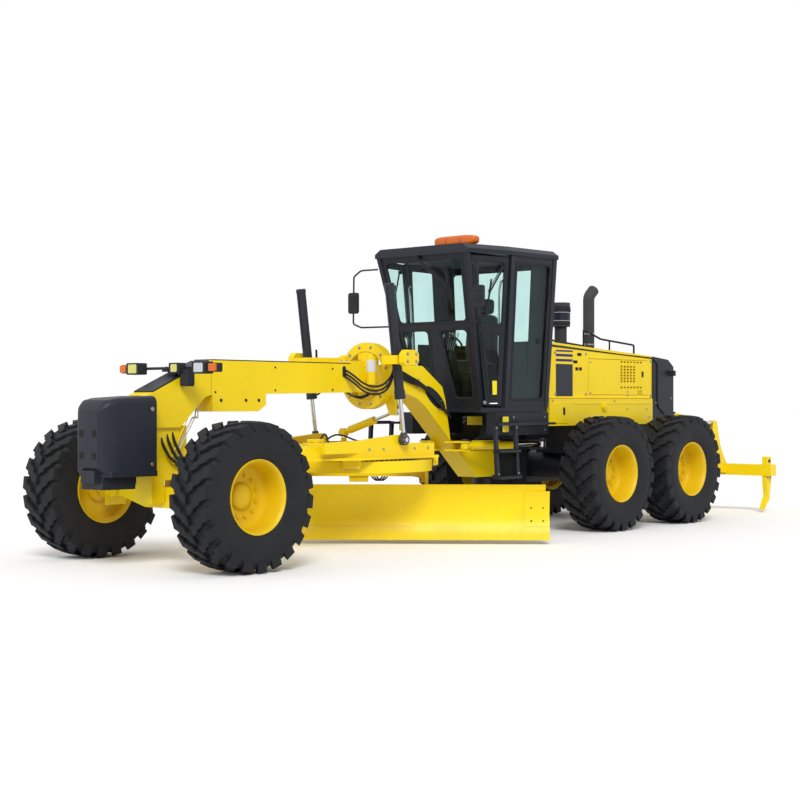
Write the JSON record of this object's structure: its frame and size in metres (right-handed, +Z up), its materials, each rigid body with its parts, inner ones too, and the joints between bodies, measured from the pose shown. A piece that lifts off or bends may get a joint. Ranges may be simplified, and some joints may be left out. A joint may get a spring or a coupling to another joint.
{
  "type": "motor grader",
  "caption": "Articulated motor grader with a long arched front frame, a blade slung from a turning circle, a glazed cab over the pivot and a rear ripper.",
  "frame": {"origin": "middle of the bounding box on the ground", "axes": "+X forward, +Y to the machine's left, +Z up"},
  "size_m": [11.905, 3.494, 3.78],
  "materials": {
    "amber_lens": "gloss",
    "black_paint": "satin",
    "black_plastic": "matte",
    "cast_iron": "rough",
    "charcoal_paint": "satin",
    "chrome_rod": "polished",
    "edge_steel": "worn",
    "glass": "gloss",
    "tyre_rubber": "matte",
    "yellow_paint": "gloss"
  },
  "bodies": {
    "rear_frame": {"rear_frame": "black_paint", "pivot_tower": "black_paint", "tandem_axle": "yellow_paint", "cab_shell": "charcoal_paint", "cab_glass": "glass", "cab_interior": "black_plastic", "engine": "cast_iron", "hood": "yellow_paint", "radiator_shroud": "charcoal_paint", "side_tanks": "yellow_paint", "exhaust_and_intake": "black_paint", "ladders": "black_paint", "rails_and_mirrors": "black_paint", "beacon": "amber_lens", "rear_lamps": "black_plastic"},
    "front_frame": {"front_frame": "yellow_paint", "front_axle": "yellow_paint", "counterweight": "charcoal_paint", "headlamps": "black_plastic", "blade_saddle": "yellow_paint"},
    "cab_door_left": {"cab_door_left": "charcoal_paint", "cab_door_glass_left": "glass"},
    "engine_door_left": {"engine_door_left": "yellow_paint"},
    "articulation_barrel_left": {"articulation_barrel_left": "yellow_paint"},
    "articulation_rod_left": {"articulation_rod_left": "chrome_rod"},
    "lean_bracket_left": {"lean_bracket_left": "yellow_paint"},
    "knuckle_left": {"knuckle_left": "yellow_paint"},
    "wheel_front_left": {"rim_front_left": "yellow_paint", "tyre_front_left": "tyre_rubber"},
    "wheel_middle_left": {"rim_middle_left": "yellow_paint", "tyre_middle_left": "tyre_rubber"},
    "wheel_rear_left": {"rim_rear_left": "yellow_paint", "tyre_rear_left": "tyre_rubber"},
    "cab_door_right": {"cab_door_right": "charcoal_paint", "cab_door_glass_right": "glass"},
    "engine_door_right": {"engine_door_right": "yellow_paint"},
    "articulation_barrel_right": {"articulation_barrel_right": "yellow_paint"},
    "articulation_rod_right": {"articulation_rod_right": "chrome_rod"},
    "lean_bracket_right": {"lean_bracket_right": "yellow_paint"},
    "knuckle_right": {"knuckle_right": "yellow_paint"},
    "wheel_front_right": {"rim_front_right": "yellow_paint", "tyre_front_right": "tyre_rubber"},
    "wheel_middle_right": {"rim_middle_right": "yellow_paint", "tyre_middle_right": "tyre_rubber"},
    "wheel_rear_right": {"rim_rear_right": "yellow_paint", "tyre_rear_right": "tyre_rubber"},
    "drawbar": {"drawbar": "yellow_paint"},
    "circle": {"circle": "yellow_paint", "circle_legs": "yellow_paint"},
    "blade_carrier": {"blade_carrier": "yellow_paint"},
    "blade": {"moldboard": "yellow_paint", "blade_rails": "yellow_paint", "cutting_edge": "edge_steel"},
    "lift_barrels": {"lift_barrels": "charcoal_paint"},
    "lift_rods": {"lift_rods": "chrome_rod"},
    "centre_shift_barrel": {"centre_shift_barrel": "yellow_paint"},
    "centre_shift_rod": {"centre_shift_rod": "chrome_rod"},
    "ripper": {"ripper": "yellow_paint"},
    "ripper_barrels": {"ripper_barrels": "yellow_paint"},
    "ripper_rods": {"ripper_rods": "chrome_rod"}
  },
  "joints": [
    {"name": "articulation", "type": "hinge", "parent": "rear_frame", "child": "front_frame", "pos_m": [-0.3725, 0, 0.9], "axis": [0, 0, 1], "range_deg": [-25, 25]},
    {"name": "articulation_barrel_left_swing", "type": "hinge", "parent": "front_frame", "child": "articulation_barrel_left", "pos_m": [0.4275, 0.33, 1.12], "axis": [0, 0, 1], "range_deg": [-12.6, 12.6]},
    {"name": "articulation_rod_left_slide", "type": "slide", "parent": "articulation_barrel_left", "child": "articulation_rod_left", "axis": [-0.9927, 0.1205, 0], "range_m": [-0.2033, 0.2033]},
    {"name": "articulation_barrel_right_swing", "type": "hinge", "parent": "front_frame", "child": "articulation_barrel_right", "pos_m": [0.4275, -0.33, 1.12], "axis": [0, 0, 1], "range_deg": [-12.6, 12.6]},
    {"name": "articulation_rod_right_slide", "type": "slide", "parent": "articulation_barrel_right", "child": "articulation_rod_right", "axis": [-0.9927, -0.1205, 0], "range_m": [-0.2033, 0.2033]},
    {"name": "wheel_lean_left", "type": "hinge", "parent": "front_frame", "child": "lean_bracket_left", "pos_m": [4.9775, 0.7, 0.745], "axis": [1, 0, 0], "range_deg": [-18, 18]},
    {"name": "wheel_steer_left", "type": "hinge", "parent": "lean_bracket_left", "child": "knuckle_left", "pos_m": [4.9775, 0.87, 0.745], "axis": [0, 0, 1], "range_deg": [-45, 45]},
    {"name": "wheel_lean_right", "type": "hinge", "parent": "front_frame", "child": "lean_bracket_right", "pos_m": [4.9775, -0.7, 0.745], "axis": [1, 0, 0], "range_deg": [-19, 19]},
    {"name": "wheel_steer_right", "type": "hinge", "parent": "lean_bracket_right", "child": "knuckle_right", "pos_m": [4.9775, -0.87, 0.745], "axis": [0, 0, 1], "range_deg": [-46, 46]},
    {"name": "wheel_front_left_spin", "type": "hinge", "parent": "knuckle_left", "child": "wheel_front_left", "pos_m": [4.9775, 1.18, 0.745], "axis": [0, 1, 0], "continuous": true},
    {"name": "wheel_middle_left_spin", "type": "hinge", "parent": "rear_frame", "child": "wheel_middle_left", "pos_m": [-1.4865, 1.18, 0.745], "axis": [0, 1, 0], "continuous": true},
    {"name": "wheel_rear_left_spin", "type": "hinge", "parent": "rear_frame", "child": "wheel_rear_left", "pos_m": [-3.2665, 1.18, 0.745], "axis": [0, 1, 0], "continuous": true},
    {"name": "wheel_front_right_spin", "type": "hinge", "parent": "knuckle_right", "child": "wheel_front_right", "pos_m": [4.9775, -1.18, 0.745], "axis": [0, 1, 0], "continuous": true},
    {"name": "wheel_middle_right_spin", "type": "hinge", "parent": "rear_frame", "child": "wheel_middle_right", "pos_m": [-1.4865, -1.18, 0.745], "axis": [0, 1, 0], "continuous": true},
    {"name": "wheel_rear_right_spin", "type": "hinge", "parent": "rear_frame", "child": "wheel_rear_right", "pos_m": [-3.2665, -1.18, 0.745], "axis": [0, 1, 0], "continuous": true},
    {"name": "drawbar_lift", "type": "hinge", "parent": "front_frame", "child": "drawbar", "pos_m": [4.6875, 0, 1.05], "axis": [0, 1, 0], "range_deg": [-12, 8]},
    {"name": "lift_barrels_swing", "type": "hinge", "parent": "front_frame", "child": "lift_barrels", "pos_m": [2.1475, 0, 2.15], "axis": [0, 1, 0], "range_deg": [-4, 3]},
    {"name": "lift_rods_slide", "type": "slide", "parent": "lift_barrels", "child": "lift_rods", "axis": [-0.1443, 0, -0.9895], "range_m": [-0.3921, 0.5782]},
    {"name": "centre_shift_swing", "type": "hinge", "parent": "front_frame", "child": "centre_shift_rod", "pos_m": [1.7275, 0.33, 1.56], "axis": [1, 0, 0], "range_deg": [-28.2, 41.8]},
    {"name": "centre_shift_slide", "type": "slide", "parent": "centre_shift_rod", "child": "centre_shift_barrel", "axis": [-0.0538, -0.9585, -0.28], "range_m": [-0.0619, 0.0828]},
    {"name": "circle_turn", "type": "hinge", "parent": "drawbar", "child": "circle", "pos_m": [2.0275, 0, 1], "axis": [0, 0, 1], "continuous": true},
    {"name": "blade_pitch", "type": "hinge", "parent": "circle", "child": "blade_carrier", "pos_m": [1.86041, -0.1353, 0.3], "axis": [-0.6293, 0.7771, 0], "range_deg": [-5, 35]},
    {"name": "blade_side_shift", "type": "slide", "parent": "blade_carrier", "child": "blade", "axis": [-0.6293, 0.7771, 0], "range_m": [-0.6, 0.6]},
    {"name": "ripper_lift", "type": "hinge", "parent": "rear_frame", "child": "ripper", "pos_m": [-4.4225, 0, 0.85], "axis": [0, 1, 0], "range_deg": [-18, 22]},
    {"name": "ripper_barrels_swing", "type": "hinge", "parent": "rear_frame", "child": "ripper_barrels", "pos_m": [-4.3725, 0, 1.45], "axis": [0, 1, 0], "range_deg": [-18.1, 21.9]},
    {"name": "ripper_rods_slide", "type": "slide", "parent": "ripper_barrels", "child": "ripper_rods", "axis": [-0.9946, 0, -0.1042], "range_m": [-0.2465, 0.2054]},
    {"name": "cab_door_left_swing", "type": "hinge", "parent": "rear_frame", "child": "cab_door_left", "pos_m": [0.1575, 0.784, 1.6], "axis": [-0.0053, 0.0526, 0.9986], "range_deg": [0, 85]},
    {"name": "engine_door_left_swing", "type": "hinge", "parent": "rear_frame", "child": "engine_door_left", "pos_m": [-1.8725, 0.624, 1.77], "axis": [0, 0, -1], "range_deg": [0, 110]},
    {"name": "cab_door_right_swing", "type": "hinge", "parent": "rear_frame", "child": "cab_door_right", "pos_m": [0.1575, -0.784, 1.6], "axis": [0.0053, 0.0526, -0.9986], "range_deg": [0, 85]},
    {"name": "engine_door_right_swing", "type": "hinge", "parent": "rear_frame", "child": "engine_door_right", "pos_m": [-1.8725, -0.624, 1.77], "axis": [0, 0, 1], "range_deg": [0, 110]}
  ],
  "couplings": [
    {"joint": "articulation_barrel_left_swing", "follows": "articulation", "ratio": -0.464},
    {"joint": "articulation_rod_left_slide", "follows": "articulation", "m_per_rad": -0.42},
    {"joint": "articulation_barrel_right_swing", "follows": "articulation", "ratio": -0.464},
    {"joint": "articulation_rod_right_slide", "follows": "articulation", "m_per_rad": 0.42},
    {"joint": "wheel_lean_right", "follows": "wheel_lean_left", "ratio": 1},
    {"joint": "wheel_steer_right", "follows": "wheel_steer_left", "ratio": 1},
    {"joint": "lift_barrels_swing", "follows": "drawbar_lift", "ratio": 0.25},
    {"joint": "lift_rods_slide", "follows": "drawbar_lift", "m_per_rad": -2.665},
    {"joint": "centre_shift_swing", "follows": "drawbar_lift", "ratio": -3.4},
    {"joint": "centre_shift_slide", "follows": "drawbar_lift", "m_per_rad": -0.3},
    {"joint": "ripper_barrels_swing", "follows": "ripper_lift", "ratio": 0.95},
    {"joint": "ripper_rods_slide", "follows": "ripper_lift", "m_per_rad": -0.59}
  ]
}
